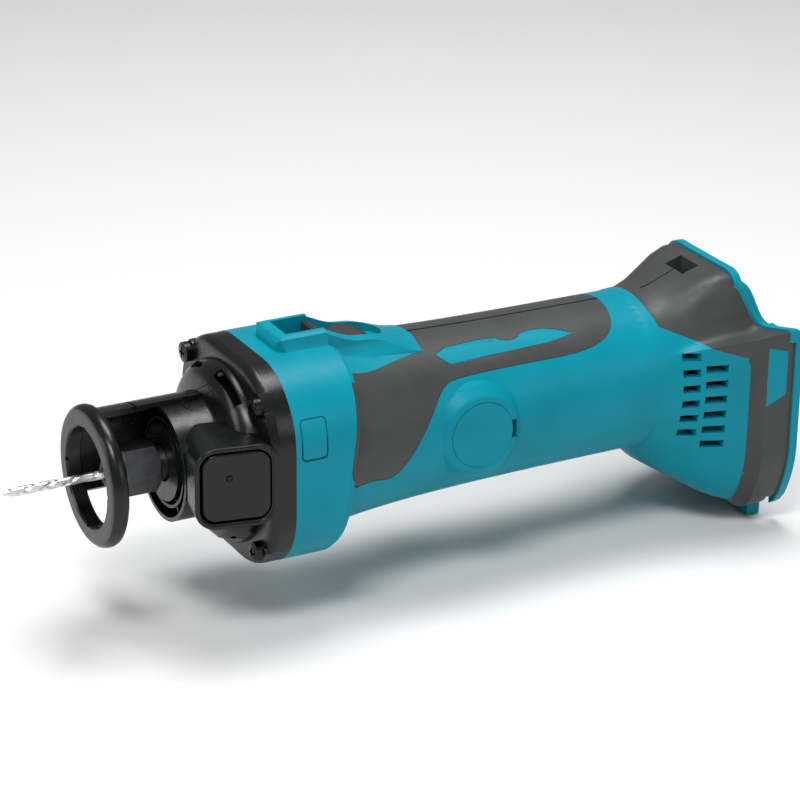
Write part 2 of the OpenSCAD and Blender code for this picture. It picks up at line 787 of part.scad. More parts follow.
module front_housing() {
    cavity_x = flange_x - 3.4;
    color(BLACK) difference() {
        union() {
            difference() {
                union() {
                    rod_x(nose_r, nose_x, cowl_x);
                    turned(cowl_profile);
                    flange_plate();
                    intersection() {
                        button_prism(frame_wall, 22, 0);
                        rod_x(60, guide_x, joint_x - 4);
                    }
                }
                tube_x(nose_r - nose_wall, guard_r, nose_x - 1, cowl_x - 3);
                tube_x(cowl_r - 2, nose_r + 5, cavity_x, flange_x + 2);
                rod_x(fan_room_r, flange_x + 1.6, joint_x + 1);
                for (a = [[60, 76], [96, 128], [-48, -22], [-128, -96], [-76, -60], [22, 48]])
                    tube_sector(cowl_r + 4, cowl_r - 5, cowl_x + 3, cowl_x + 6.2, a[0], a[1]);
                translate([-0.35, 0, 0]) button_prism(0.75, 30, 5);
            }
            // Front ring of the guard and ribs that carry it
            tube_x(16.4, 15.3, nose_x + 1, cowl_x - 2);
            for (i = [0:nose_ribs - 1]) rotate([360 * (i + 0.5) / nose_ribs, 0, 0])
                block([nose_x + 3, guard_r - 1, -0.6], [cowl_x - 2, nose_r - 0.5, 0.6]);
            guide_shell();
            // Floor of the button pocket and the sleeve that guides the lock pin
            intersection() {
                button_prism(1.6, 30, 0);
                block([0, pocket_y, -40], [100, -guard_r + 2, 40]);
                difference() {
                    rod_x(60, nose_x, flange_x + 1.6);
                    tube_x(nose_r - nose_wall, 5, nose_x - 1, cowl_x - 3);
                }
            }
            rod_y(pin_r + 2.6, pin_x, 0, pocket_y + 1, -guard_r + 1.4);
            tube_x(bearing_r + 2.6, bearing_r - 1, chamber_end - 1, flange_x + 1.6);
        }
        rod_x(guard_hole_r, nose_x - 1, nose_x + 4);
        rod_x(chamber_r, nose_x + 2.4, chamber_end);
        rod_x(bearing_r - 1.6, chamber_end - 1, bearing_x + 1);
        rod_x(bearing_r + 0.01, bearing_x, flange_x + 3);
        rod_y(pin_r + run_fit, pin_x, 0, pocket_y - 10, -5);
        rod_y(6.2, pin_x, 0, pocket_y - 10, spring_seat_y);
        tube_sector(guide_in, channel_in, guide_x - 1, flange_x - 3, -28, 80);
        translate([lever_x, lever_y, -30]) cylinder(r = lever_pin_r + 0.01, h = 60);
        flange_screw_places() rod_x(2.05, -5, flange_l + 5);
    }
}

module flange_screws() {
    color(DARK_STEEL) flange_screw_places() {
        difference() {
            union() {
                rod_x(3.7, -2.5, 0);
                turned([[0, -3.1], [1.6, -3], [2.9, -2.7], [3.7, -2.1], [3.7, -2], [0, -2]]);
            }
            for (a = [0, 90]) rotate([a, 0, 0]) block([-4, -0.5, -1.9], [-1.6, 0.5, 1.9]);
        }
        rod_x(2, -0.1, flange_l + 14);
    }
}

// Brush gear

module brush_cover(side) {
    color(TEAL) on_side(side) difference() {
        rod_y(cover_r, brush_x, handle_z, -handle_r + 2.1, -handle_r - 2.4);
        rod_y(cover_r - 1.8, brush_x, handle_z, -handle_r + 2, -handle_r - 0.4);
    }
}

module brush_cap(side) {
    color(CARBON) on_side(side) difference() {
        union() {
            rod_y(8, brush_x, 0, -handle_r + 5.4, -handle_r + 3.3);
            rod_y(5.6, brush_x, 0, -handle_r + 7.6, -handle_r + 5.3);
        }
        block([brush_x - 5, -handle_r + 3.2, -0.7], [brush_x + 5, -handle_r + 4.5, 0.7]);
    }
}

module brush_holder(side) {
    color(BRASS) on_side(side) difference() {
        block([brush_x - 4.3, -handle_r + 7.6, -5.4], [brush_x + 4.3, -comm_r - 1.6, 5.4]);
        block([brush_x - 3.3, -handle_r + 7.5, -4.4], [brush_x + 3.3, -comm_r - 1.5, 4.4]);
    }
}

module carbon_brush(side) {
    color(CARBON) on_side(side) difference() {
        block([brush_x - 3.2, -comm_r - 8, -4.3], [brush_x + 3.2, -comm_r + 2, 4.3]);
        rod_x(comm_r + 0.06, brush_x - 10, brush_x + 10);
    }
}

// A helical wire; each ring of the tube turns with the helix
module spring_wire(r, wire, length, turns) {
    sides = 5;
    per_turn = 12;
    n = turns * per_turn;
    points = [for (i = [0:n], k = [0:sides - 1]) let (
        a = 360 * i / per_turn, b = 360 * k / sides, rr = r + wire * cos(b)
    ) [rr * cos(a), rr * sin(a), mix(wire, length - wire, i / n) + wire * sin(b)]];
    polyhedron(points = points, faces = concat(
        [[for (k = [0:sides - 1]) k]],
        [for (i = [0:n - 1], k = [0:sides - 1]) each let (
            a = i * sides + k, b = i * sides + (k + 1) % sides
        ) [[a, b + sides, b], [a, a + sides, b + sides]]],
        [[for (k = [sides - 1:-1:0]) n * sides + k]]
    ));
}

module brush_spring(side) {
    length = handle_r - 7.6 - comm_r - 8;
    color(STEEL) on_side(side) translate([brush_x, -comm_r - 8.05, 0]) rotate([90, 0, 0])
        spring_wire(2.2, 0.3, length - 0.1, 3);
}

// Motor

module motor_yoke() {
    color(DARK_STEEL) difference() {
        rod_x(yoke_r, yoke_x, yoke_end);
        rod_x(yoke_r - 2.4, yoke_x - 1, yoke_end + 1);
    }
}

module field_magnets() {
    magnet_in = rotor_r + 0.6;
    color(CARBON) for (a = [45:90:315])
        rotate([a, 0, 0]) tube_sector(yoke_r - 2.42, magnet_in, yoke_x + 4, yoke_end - 3, -34, 34);
}

module armature_core() {
    core_x = yoke_x + 7;
    core_l = yoke_l - 14;
    color(STEEL) difference() {
        rod_x(rotor_r, core_x, core_x + core_l);
        rod_x(spindle_r, core_x - 1, core_x + core_l + 1);
        for (i = [0:rotor_slots - 1]) rotate([360 * i / rotor_slots, 0, 0]) {
            block([core_x - 1, rotor_r - 9.5, -1.7], [core_x + core_l + 1, rotor_r - 2, 1.7]);
            block([core_x - 1, rotor_r - 3, -0.8], [core_x + core_l + 1, rotor_r + 1, 0.8]);
        }
    }
}

module armature_windings() {
    core_x = yoke_x + 7;
    core_l = yoke_l - 14;
    color(COPPER) {
        for (i = [0:rotor_slots - 1]) rotate([360 * i / rotor_slots, 0, 0])
            block([core_x - 1, rotor_r - 9.4, -1.6], [core_x + core_l + 1, rotor_r - 2.1, 1.6]);
        for (x0 = [core_x - 4.52, core_x + core_l + 0.02]) translate([x0, 0, 0]) turned([
            [spindle_r + 1, 0], [rotor_r - 4.4, 0], [rotor_r - 2.6, 1], [rotor_r - 2, 2.2],
            [rotor_r - 2.6, 3.6], [rotor_r - 4.4, 4.5], [spindle_r + 1, 4.5]
        ]);
    }
}

module commutator() {
    x0 = brush_x - comm_l / 2;
    color(COPPER) difference() {
        union() {
            rod_x(comm_r, x0 + 2, x0 + comm_l);
            rod_x(comm_r + 1.3, x0, x0 + 2);
        }
        rod_x(spindle_r, x0 - 1, x0 + comm_l + 1);
        for (i = [0:2 * rotor_slots - 1]) rotate([180 * (i + 0.5) / rotor_slots, 0, 0])
            block([x0 - 1, comm_r - 1.2, -0.25], [x0 + comm_l + 1, comm_r + 3, 0.25]);
    }
}

module spindle() {
    nut_end = nose_x - 3.3;
    color(STEEL) difference() {
        turned([
            [0, nut_end - 12], [5, nut_end - 12], [5, nut_end + 0.4], [6.1, nut_end + 0.4], [6.1, nose_x + 5],
            [5, nose_x + 5.4], [5, bearing_x - 0.6], [spindle_r, bearing_x - 0.6],
            [spindle_r, rear_bearing_x - 1], [rear_r, rear_bearing_x - 1],
            [rear_r, rear_bearing_x + rear_bearing_w + 1], [0, rear_bearing_x + rear_bearing_w + 1]
        ]);
        // Tapered seat of the collet
        turned([[0, nut_end - 13], [4.33, nut_end - 13], [3.05, nut_end - 1], [3.05, nut_end + 3],
                [0, nut_end + 3]]);
    }
}

module collet() {
    tip = nose_x - 17.6;
    color(DARK_STEEL) difference() {
        turned([[bit_r, tip], [2.7, tip], [4.2, tip + 2.4], [4.2, tip + 2.6], [3, nose_x - 4.4],
                [3, nose_x - 1.4], [bit_r, nose_x - 1.4]]);
        for (a = [0, 120, 240]) rotate([a, 0, 0])
            block([tip - 1, 0, -0.3], [nose_x - 6, 6, 0.3]);
    }
}

module collet_nut() {
    nut_x = nose_x - 16.3;
    nut_end = nose_x - 3.3;
    corner = nut_af / 2 / cos(30);
    color(DARK_STEEL) difference() {
        union() {
            intersection() {
                rotate([55.3, 0, 0]) along_x(nut_x, nut_end) circle(corner, $fn = 6);
                turned([[0, nut_x], [nut_af / 2, nut_x], [corner, nut_x + 1], [corner, nut_end - 1],
                        [nut_af / 2, nut_end], [0, nut_end]]);
            }
            turned([[0, nut_x - 5], [4.6, nut_x - 5], [5.4, nut_x - 4.2], [7.4, nut_x + 0.1], [0, nut_x + 0.1]]);
        }
        rod_x(5 + run_fit, nut_x + 0.7, nut_end + 1);
        turned([[0, nut_x - 6], [2.6, nut_x - 6], [2.6, nut_x - 1.6], [4.5, nut_x + 1.3], [0, nut_x + 1.3]]);
    }
}

// Two-flute spiral bit with a plain shank in the collet
module cutting_bit() {
    flute_l = bit_reach + 7;
    color(STEEL) {
        rod_x(bit_r - 0.01, 6.9, nose_x - 1.6);
        translate([-bit_reach + 2, 0, 0]) rotate([0, 90, 0])
            linear_extrude(flute_l - 2, twist = -360 * (flute_l - 2) / 13, slices = 36, $fn = 12) difference() {
                circle(bit_r - 0.02, $fn = 12);
                for (s = [-1, 1]) translate([s * bit_r, 0]) circle(bit_r * 0.5, $fn = 6);
            }
        turned([[0, -bit_reach], [bit_r * 0.45, -bit_reach + 0.5], [bit_r * 0.45, -bit_reach + 2.2],
                [0, -bit_reach + 2.2]]);
    }
}

module lock_collar() {
    color(DARK_STEEL) difference() {
        rod_x(collar_r, collar_x, collar_x + collar_l);
        rod_x(5, collar_x - 1, collar_x + collar_l + 1);
        for (a = [0:90:270]) rotate([a, 0, 0])
            rod_y(pin_r + 0.35, pin_x, 0, -collar_r - 1, -collar_r + 3.6);
    }
}

module cooling_fan() {
    color(BLACK) difference() {
        union() {
            turned([[spindle_r, fan_x], [fan_r, fan_x], [fan_r, fan_x + 1.4], [10, fan_x + 1.8],
                    [9, fan_x + 3], [8, fan_x + fan_l], [spindle_r, fan_x + fan_l]]);
            for (i = [0:fan_blades - 1]) rotate([360 * i / fan_blades, 0, 0])
                translate([0, 12, 0]) rotate([20, 0, 0])
                    block([fan_x + 1, 0, -0.6], [fan_x + fan_l - 1.4, 19.4, 0.6]);
        }
        tube_x(fan_r + 20, fan_r, fan_x - 1, fan_x + fan_l + 1);
    }
}

module fan_baffle() {
    color(BLACK) difference() {
        rod_x(fan_room_r - 0.1, baffle_x, baffle_x + baffle_t);
        rod_x(21, baffle_x - 1, baffle_x + baffle_t + 1);
    }
}

module front_bearing() {
    color(STEEL) difference() {
        rod_x(bearing_r, bearing_x, bearing_x + bearing_w);
        rod_x(spindle_r + 0.02, bearing_x - 1, bearing_x + bearing_w + 1);
        for (x0 = [bearing_x - 1, bearing_x + bearing_w - 0.6])
            tube_x(bearing_r - 2.2, spindle_r + 1.8, x0, x0 + 1.6);
    }
}

module rear_bearing() {
    color(STEEL) difference() {
        rod_x(rear_bearing_r, rear_bearing_x, rear_bearing_x + rear_bearing_w);
        rod_x(rear_r + 0.02, rear_bearing_x - 1, rear_bearing_x + rear_bearing_w + 1);
        for (x0 = [rear_bearing_x - 1, rear_bearing_x + rear_bearing_w - 0.6])
            tube_x(rear_bearing_r - 2, rear_r + 1.6, x0, x0 + 1.6);
    }
}

module bearing_boot() {
    color(CARBON) difference() {
        rod_x(rear_bearing_r + boot_t, rear_bearing_x - boot_t + 0.05, rear_bearing_x + rear_bearing_w + boot_t - 0.05);
        rod_x(rear_bearing_r, rear_bearing_x, rear_bearing_x + rear_bearing_w);
        rod_x(rear_bearing_r - 2, rear_bearing_x - 5, rear_bearing_x + rear_bearing_w + 5);
    }
}

module bearing_retainer() {
    x0 = flange_x + 0.6;
    color(DARK_STEEL) difference() {
        rod_x(bearing_r - 0.1, x0, x0 + 1);
        rod_x(spindle_r + 2, x0 - 1, x0 + 2);
    }
}

// Shoe with its curved leg and sliding tongue

shoe_profile = [
    [shoe_hole_r, 0.6], [shoe_hole_r + 0.6, 0], [shoe_r - 3, 0], [shoe_r - 1.4, 0.4], [shoe_r - 0.4, 1.4],
    [shoe_r, 2.8], [shoe_r, shoe_t - 2], [shoe_r - 0.5, shoe_t - 0.8], [shoe_r - 1.6, shoe_t],
    [shoe_hole_r + 0.6, shoe_t], [shoe_hole_r, shoe_t - 0.6]
];

module shoe() {
    color(BLACK) {
        difference() {
            turned(shoe_profile);
            for (a = [0:90:270]) rotate([a, 0, 0])
                block([-1, shoe_hole_r - 1, -0.7], [1, shoe_hole_r + 0.9, 0.7]);
        }
        tube_sector(leg_r, leg_r - leg_wall, shoe_t - 1, leg_end, -leg_low, 90);
        tube_sector(leg_r - 0.5, tongue_in + 0.4, leg_end - 3.4, leg_end - 0.2, -25, 77);
        tube_sector(tongue_out, tongue_in, leg_end - 2.4, leg_end + tongue_l, -26, 78);
    }
}

module clamp_lever() {
    color(BLACK) difference() {
        union() {
            translate([lever_x, lever_y - 0.45, -lever_half]) cylinder(r = 3.45, h = 2 * lever_half);
            translate([lever_x, lever_y, -lever_half]) cylinder(r = 3.2, h = 2 * lever_half);
            intersection() {
                block([lever_x - lever_l, lever_y - 1.2, -lever_half], [lever_x, lever_y + 2, lever_half]);
                translate([lever_x, lever_y + 10, 0]) rotate([90, 0, 0]) linear_extrude(20)
                    translate([-lever_l / 2 + 3, 0]) rounded_rect(lever_l + 6, 2 * lever_half, 3.5);
            }
            block([lever_x - lever_l + 0.6, lever_y + 1.9, -lever_half + 2.4],
                  [lever_x - lever_l + 3, lever_y + 2.8, lever_half - 2.4]);
        }
        translate([lever_x, lever_y, -20]) cylinder(r = lever_pin_r + run_fit, h = 40);
    }
}

module lever_pin() {
    color(STEEL) translate([lever_x, lever_y, -lever_half - 0.4 - lug_t])
        cylinder(r = lever_pin_r, h = 2 * (lever_half + 0.4 + lug_t));
}

module clamp_plate() {
    color(STEEL) tube_sector(plate_r, guide_in + 0.02, lever_x - 4.5, lever_x + 4.5, -10.4, 10.4);
}

// Shaft lock

module lock_button() {
    color(BLACK) difference() {
        intersection() {
            button_prism(0, 6.4, 0.2);
            block([0, -60, -40], [100, pocket_y - button_travel - 0.5, 40]);
        }
        rod_y(6.4, pin_x, 0, boss_y + 4.6, 0);
        in_boss_frame() translate([-2.6, -0.6, 3.4]) rotate([90, 0, 0]) translate([0, 0, -1])
            cylinder(r = 0.9, h = 3);
    }
    color(BLACK) rod_y(pin_r + 1, pin_x, 0, boss_y + 4, boss_y + 5.4);
}

module lock_pin() {
    color(STEEL) rod_y(pin_r, pin_x, 0, boss_y + 5.4, -pin_tip);
}

module lock_spring() {
    color(STEEL) translate([pin_x, spring_seat_y - 0.1, 0]) rotate([90, 0, 0])
        spring_wire(4.4, 0.4, spring_seat_y - boss_y - 4.8, 4);
}

// Slide switch

module knob_profile() {
    top = bezel_z - 1.4;
    polygon([
        [knob_x, bezel_z - 9], [knob_x + 0.3, top - 0.6], [knob_x + 1.2, top], [knob_x + 2.6, top - 0.4],
        [knob_x + 5, top - 2.9], [knob_x + 7.4, top - 4.1], [knob_x + 9.6, top - 4.3], [knob_x + 13, top - 3.9],
        [knob_x + 17, top - 4.2], [knob_x + 20.4, top - 5.3], [knob_x + knob_l - 1.2, top - 6.6],
        [knob_x + knob_l, top - 7.5], [knob_x + knob_l, bezel_z - 9]
    ]);
}

module switch_knob() {
    color(RUBBER) {
        translate([0, knob_w / 2, 0]) rotate([90, 0, 0]) linear_extrude(knob_w) knob_profile();
        block([knob_x + 6, -link_half + 0.1, link_z + link_t], [knob_x + 12, link_half - 0.1, bezel_z - 8.9]);
    }
}

module switch_link() {
    end = switch_x - 2.4;
    color(BLACK) {
        block([knob_x + 4, -link_half, link_z], [end, link_half, link_z + link_t]);
        block([end - 2, -link_half, 13.2], [end, link_half, link_z + 0.1]);
    }
}

module switch_slider() {
    color(RUBBER) block([switch_x - 2.3, -link_half, 12.4], [switch_x + 2, link_half, 15]);
}

module switch_body() {
    color(CARBON) difference() {
        block([rear_bearing_x + rear_bearing_w + 4, -9, -10], [switch_x + switch_l - 10, 9, 17]);
        block([switch_x - 16, -link_half - 0.4, 12], [switch_x + 6, link_half + 0.4, 20]);
    }
}

// Battery terminals

module terminal_block() {
    x0 = bay_floor - 9;
    color(CARBON) difference() {
        union() {
            block([x0, -17, -14], [bay_floor + 0.6, 17, 7.6]);
            block([bay_floor + 0.5, -13.5, -4], [bay_floor + 3.4, 13.5, 6]);
        }
        for (y = [-9.5, 0, 9.5]) block([x0 - 1, y - 0.4, -12], [bay_floor + 4, y + 0.4, 4]);
    }
}

module terminal_blades() {
    color(BRASS) for (y = [-9.5, 0, 9.5])
        block([bay_floor - 12, y - 0.4, -12], [rim_x - 0.6, y + 0.4, 4]);
}

housing_left();
housing_right();
grip_left();
grip_right();
foot_grip_left();
foot_grip_right();
front_housing();
flange_screws();
housing_screws();
brush_cover(-1);  // brush_cover_left
brush_cover(1);  // brush_cover_right
brush_cap(-1);  // brush_cap_left
brush_cap(1);  // brush_cap_right
brush_holder(-1);  // brush_holder_left
brush_holder(1);  // brush_holder_right
carbon_brush(-1);  // carbon_brush_left
carbon_brush(1);  // carbon_brush_right
brush_spring(-1);  // brush_spring_left
brush_spring(1);  // brush_spring_right
motor_yoke();
field_magnets();
armature_core();
armature_windings();
commutator();
spindle();
cooling_fan();
fan_baffle();
front_bearing();
rear_bearing();
bearing_retainer();
bearing_boot();
lock_collar();
collet_nut();
collet();
cutting_bit();
switch_knob();
switch_link();
switch_body();
switch_slider();
lock_button();
lock_pin();
lock_spring();
shoe();
clamp_lever();
lever_pin();
clamp_plate();
terminal_block();
terminal_blades();
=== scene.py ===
import json
import math

import bmesh
import bpy
from mathutils import Matrix, Vector
from mathutils.bvhtree import BVHTree


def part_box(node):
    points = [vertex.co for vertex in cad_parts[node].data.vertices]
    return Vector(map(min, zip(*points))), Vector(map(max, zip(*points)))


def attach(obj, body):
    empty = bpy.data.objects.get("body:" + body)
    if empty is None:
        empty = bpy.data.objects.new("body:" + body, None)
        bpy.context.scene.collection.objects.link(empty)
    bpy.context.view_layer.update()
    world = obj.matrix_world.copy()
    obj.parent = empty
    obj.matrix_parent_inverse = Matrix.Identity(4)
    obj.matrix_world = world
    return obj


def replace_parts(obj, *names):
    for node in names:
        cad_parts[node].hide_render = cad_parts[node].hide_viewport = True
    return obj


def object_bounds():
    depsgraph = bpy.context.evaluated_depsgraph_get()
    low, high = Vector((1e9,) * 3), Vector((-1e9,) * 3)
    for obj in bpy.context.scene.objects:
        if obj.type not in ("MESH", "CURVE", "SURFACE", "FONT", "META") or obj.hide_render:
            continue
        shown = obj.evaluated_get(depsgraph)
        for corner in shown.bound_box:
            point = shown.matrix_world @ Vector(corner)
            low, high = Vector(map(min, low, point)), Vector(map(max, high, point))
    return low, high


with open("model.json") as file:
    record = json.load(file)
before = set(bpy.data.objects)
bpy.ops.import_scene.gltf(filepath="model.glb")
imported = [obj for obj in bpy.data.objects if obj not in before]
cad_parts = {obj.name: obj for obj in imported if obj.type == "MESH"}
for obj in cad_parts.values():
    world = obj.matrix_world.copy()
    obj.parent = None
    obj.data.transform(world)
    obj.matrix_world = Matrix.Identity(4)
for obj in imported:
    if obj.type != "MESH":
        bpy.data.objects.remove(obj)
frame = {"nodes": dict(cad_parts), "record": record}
cad_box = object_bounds()

MM = 0.001
NODES = frame["nodes"]
BODIES = frame["record"]["behaviour"]["bodies"]
BODY_OF = {node: body for body, nodes in BODIES.items() for node in nodes}


# Colours and material nodes

# Noise mostly lies between these two values, so shades and roughness run from the one to the other
NOISE_LOW, NOISE_HIGH = 0.3, 0.7
# How far a finish is smoother and rougher than its mean in places
PLASTIC_SPREAD = (-0.05, 0.06)
METAL_SPREAD = (-0.07, 0.1)
# On every plastic: clouds where the melt flowed, and patches of the film that handling leaves
FLOW_MM, FILM_MM = 22, 3
# On every metal: clouds, and the length of a tool or rolling mark
CLOUD_MM, RUN = 6, 40


def linear(hex_colour):
    """sRGB hex to a linear colour."""
    values = [int(hex_colour[i:i + 2], 16) / 255 for i in (1, 3, 5)]
    return [v / 12.92 if v <= 0.04045 else ((v + 0.055) / 1.055) ** 2.4 for v in values] + [1.0]


def add(tree, kind, settings=None, links=None):
    """Adds a node with its settings and incoming links."""
    node = tree.nodes.new(kind)
    for socket, value in (settings or {}).items():
        node.inputs[socket].default_value = value
    for socket, source in (links or {}).items():
        tree.links.new(source, node.inputs[socket])
    return node


def start_material(name):
    """An empty material, its node tree, and the object coordinates that its patterns follow."""
    material = bpy.data.materials.new(name)
    material.use_nodes = True
    tree = material.node_tree
    tree.nodes.clear()
    return material, tree, add(tree, "ShaderNodeTexCoord").outputs["Object"]


def join_patterns(tree, shades, tone, rough, spread, gloss, relief, depth_mm, strength, settings):
    """Joins patterns to the shader: tone goes between two shades, gloss moves the roughness, relief is the bump."""
    shade = add(tree, "ShaderNodeValToRGB", links={"Fac": tone})
    for stop, position, colour in zip(shade.color_ramp.elements, (NOISE_LOW, NOISE_HIGH), shades):
        stop.position = position
        stop.color = linear(colour)
    smooth, dull = rough + spread[0], rough + spread[1]
    roughness = add(tree, "ShaderNodeMapRange",
                    {"From Min": NOISE_LOW, "From Max": NOISE_HIGH, "To Min": smooth, "To Max": dull},
                    {"Value": gloss})
    bump = add(tree, "ShaderNodeBump", {"Strength": strength, "Distance": depth_mm * MM}, {"Height": relief})
    shader = add(tree, "ShaderNodeBsdfPrincipled", settings,
                 {"Base Color": shade.outputs[0], "Roughness": roughness.outputs[0], "Normal": bump.outputs[0]})
    add(tree, "ShaderNodeOutputMaterial", links={"Surface": shader.outputs[0]})


def moulded(name, shades, rough, grain_mm, depth_mm, ior=1.5, shine=0.5, sheen=0.0):
    """Moulded or pressed material: the mould's fine grain, faint flow marks and slightly uneven gloss."""
    material, tree, place = start_material(name)
    grain = add(tree, "ShaderNodeTexNoise", {"Scale": 1 / (grain_mm * MM), "Detail": 2.0, "Roughness": 0.6},
                {"Vector": place}).outputs[0]
    flow = add(tree, "ShaderNodeTexNoise", {"Scale": 1 / (FLOW_MM * MM), "Detail": 3.0, "Roughness": 0.5},
               {"Vector": place}).outputs[0]
    film = add(tree, "ShaderNodeTexNoise", {"Scale": 1 / (FILM_MM * MM), "Detail": 4.0, "Roughness": 0.7},
               {"Vector": place}).outputs[0]
    join_patterns(tree, shades, flow, rough, PLASTIC_SPREAD, film, grain, depth_mm, 0.5,
                  {"IOR": ior, "Specular IOR Level": shine, "Sheen Weight": sheen})
    return material


def worked(name, shades, rough, marks_mm, depth_mm=0.01):
    """Metal with a cloudy tone and tool or rolling marks, from their size in mm along x, y and z."""
    material, tree, place = start_material(name)
    drawn_out = add(tree, "ShaderNodeMapping", {"Scale": [1 / (size * MM) for size in marks_mm]},
                    {"Vector": place}).outputs[0]
    marks = add(tree, "ShaderNodeTexNoise", {"Scale": 1.0, "Detail": 2.0}, {"Vector": drawn_out}).outputs[0]
    cloud = add(tree, "ShaderNodeTexNoise", {"Scale": 1 / (CLOUD_MM * MM), "Detail": 4.0},
                {"Vector": place}).outputs[0]
    join_patterns(tree, shades, cloud, rough, METAL_SPREAD, marks, marks, depth_mm, 0.4, {"Metallic": 1.0})
    return material


# The grain of a spark-eroded mould is 0.1 to 0.2 mm, and is drawn at 0.4 mm or more so that it shows

# Glass-filled nylon, moulded with a satin grain: an even, slightly soft highlight on a saturated colour
TEAL = moulded("nylon_teal_moulded", ("#007E90", "#00869A"), 0.38, 0.5, 0.02, 1.53, 0.12)
# The same nylon in black, from a smoother mould: broad soft highlights and deep shade
BLACK = moulded("nylon_black_moulded", ("#0A0B0B", "#101212"), 0.28, 0.45, 0.012, 1.53, 0.3)
# The same nylon in dark grey, where a thumb pushes: dry and even
KNOB = moulded("nylon_dark_grey_moulded", ("#2A2C2C", "#323434"), 0.42, 0.4, 0.02, 1.53, 0.4)
# Overmoulded elastomer: dull, with a fine leathery grain and a faint bloom at grazing angles
RUBBER = moulded("elastomer_grip_moulded", ("#323434", "#3A3C3C"), 0.46, 0.7, 0.04, 1.48, 0.4, 0.04)
# Painted shade: the same nylon and elastomer darkened to stand for the shade inside a narrow groove, which little
# light reaches; their own hue, dark and dull
TEAL_SHADE = moulded("nylon_teal_painted_groove_shade", ("#00444F", "#004A56"), 0.6, 0.5, 0.01, 1.53, 0.1)
SHADE = moulded("elastomer_painted_groove_shade", ("#0B0C0C", "#101111"), 0.7, 0.5, 0.01, 1.5, 0.1)
# Pressed carbon of the brushes: dark and dry, with a crumb that shows
CARBON = moulded("carbon_pressed", ("#1C1C1E", "#262628"), 0.55, 0.6, 0.03)
# Sintered ferrite of the magnets: charcoal grey, like unglazed stoneware
FERRITE = moulded("ferrite_sintered", ("#222326", "#2D2E31"), 0.5, 0.8, 0.03)

# Turning, grinding and drawing leave marks of 0.02 to 0.1 mm, drawn at 0.15 mm or more so that they show

# Turned steel with a black oxide skin: dark grey metal with an oily gloss
BLACK_OXIDE = worked("steel_black_oxide", ("#454648", "#58595B"), 0.4, (0.25, RUN, RUN))
# The same skin on rolled screws, which wear smoother: nearly black, with a tighter highlight
SCREW_BLACK = worked("screw_steel_black_oxide", ("#26272A", "#36373A"), 0.32, (0.3, RUN, RUN))
# Zinc-plated screws, which lie across the tool: pale grey with soft reflections
ZINC = worked("screw_steel_zinc_plated", ("#8E9094", "#A6A8AB"), 0.32, (RUN, 0.3, RUN))
# Ground bearing and pin steel: bright, with a crisp highlight
STEEL = worked("steel_ground", ("#9C9EA1", "#B4B5B8"), 0.22, (0.2, RUN, RUN))
# Drawn spring wire and strip: a little greyer and softer than ground steel
SPRING = worked("spring_steel_drawn", ("#8A8B8E", "#A3A4A7"), 0.3, (0.3, RUN, RUN))
# Rolled mild steel, left bare: mid grey and satin
YOKE = worked("steel_rolled_yoke", ("#5D5F62", "#727477"), 0.42, (0.5, RUN, RUN))
# Stacked electrical sheet of 0.5 mm: lines of that width across the axis
LAMINATED = worked("steel_laminations_stacked", ("#66686B", "#8A8C8F"), 0.38, (0.5, RUN, RUN), 0.03)
# Stamped brass: warm yellow, slightly dulled by air
BRASS = worked("brass_stamped", ("#A98B45", "#C2A35A"), 0.3, (0.3, RUN, RUN))
# Copper under clear enamel: brown orange with a wet gloss
COPPER = worked("copper_enamelled", ("#8F4E2A", "#B4683C"), 0.34, (0.4, RUN, RUN))
# Freshly ground tool steel of the bit: nearly white where it catches the light
BIT_STEEL = worked("bit_steel_ground_bright", ("#D4D5D7", "#E6E6E8"), 0.34, (0.15, RUN, RUN))

FINISH = {
    "housing_left": TEAL, "housing_right": TEAL, "brush_cover_left": TEAL, "brush_cover_right": TEAL,
    "grip_left": RUBBER, "grip_right": RUBBER, "foot_grip_left": RUBBER, "foot_grip_right": RUBBER,
    "bearing_boot": RUBBER,
    "front_housing": BLACK, "shoe": BLACK, "clamp_lever": BLACK, "lock_button": BLACK,
    "cooling_fan": BLACK, "fan_baffle": BLACK, "switch_body": BLACK, "switch_link": BLACK,
    "terminal_block": BLACK, "brush_cap_left": BLACK, "brush_cap_right": BLACK,
    "switch_knob": KNOB, "switch_slider": KNOB,
    "flange_screws": SCREW_BLACK, "housing_screws": ZINC,
    "brush_holder_left": BRASS, "brush_holder_right": BRASS, "terminal_blades": BRASS,
    "carbon_brush_left": CARBON, "carbon_brush_right": CARBON,
    "brush_spring_left": SPRING, "brush_spring_right": SPRING, "lock_spring": SPRING, "clamp_plate": SPRING,
    "front_bearing": STEEL, "rear_bearing": STEEL, "lock_pin": STEEL, "lever_pin": STEEL,
    "motor_yoke": YOKE, "lock_collar": YOKE, "bearing_retainer": YOKE,
    "field_magnets": FERRITE, "armature_core": LAMINATED, "armature_windings": COPPER, "commutator": COPPER,
    "spindle": BLACK_OXIDE, "collet": BLACK_OXIDE, "collet_nut": BLACK_OXIDE, "cutting_bit": BIT_STEEL,
}

for node, carried in NODES.items():
    if not carried.material_slots:
        carried.data.materials.append(FINISH[node])
    for material_slot in carried.material_slots:
        material_slot.material = FINISH[node]


# Pieces

def put_in_scene(name, data):
    """A new object in the scene, at the origin."""
    thing = bpy.data.objects.new(name, data)
    bpy.context.scene.collection.objects.link(thing)
    return thing


def new_piece(name, mesh, material, node):
    """A piece that rides with a CAD node and takes its material slot."""
    mesh.materials.clear()
    mesh.materials.append(material)
    piece = put_in_scene(name, mesh)
    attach(piece, BODY_OF[node])
    return piece


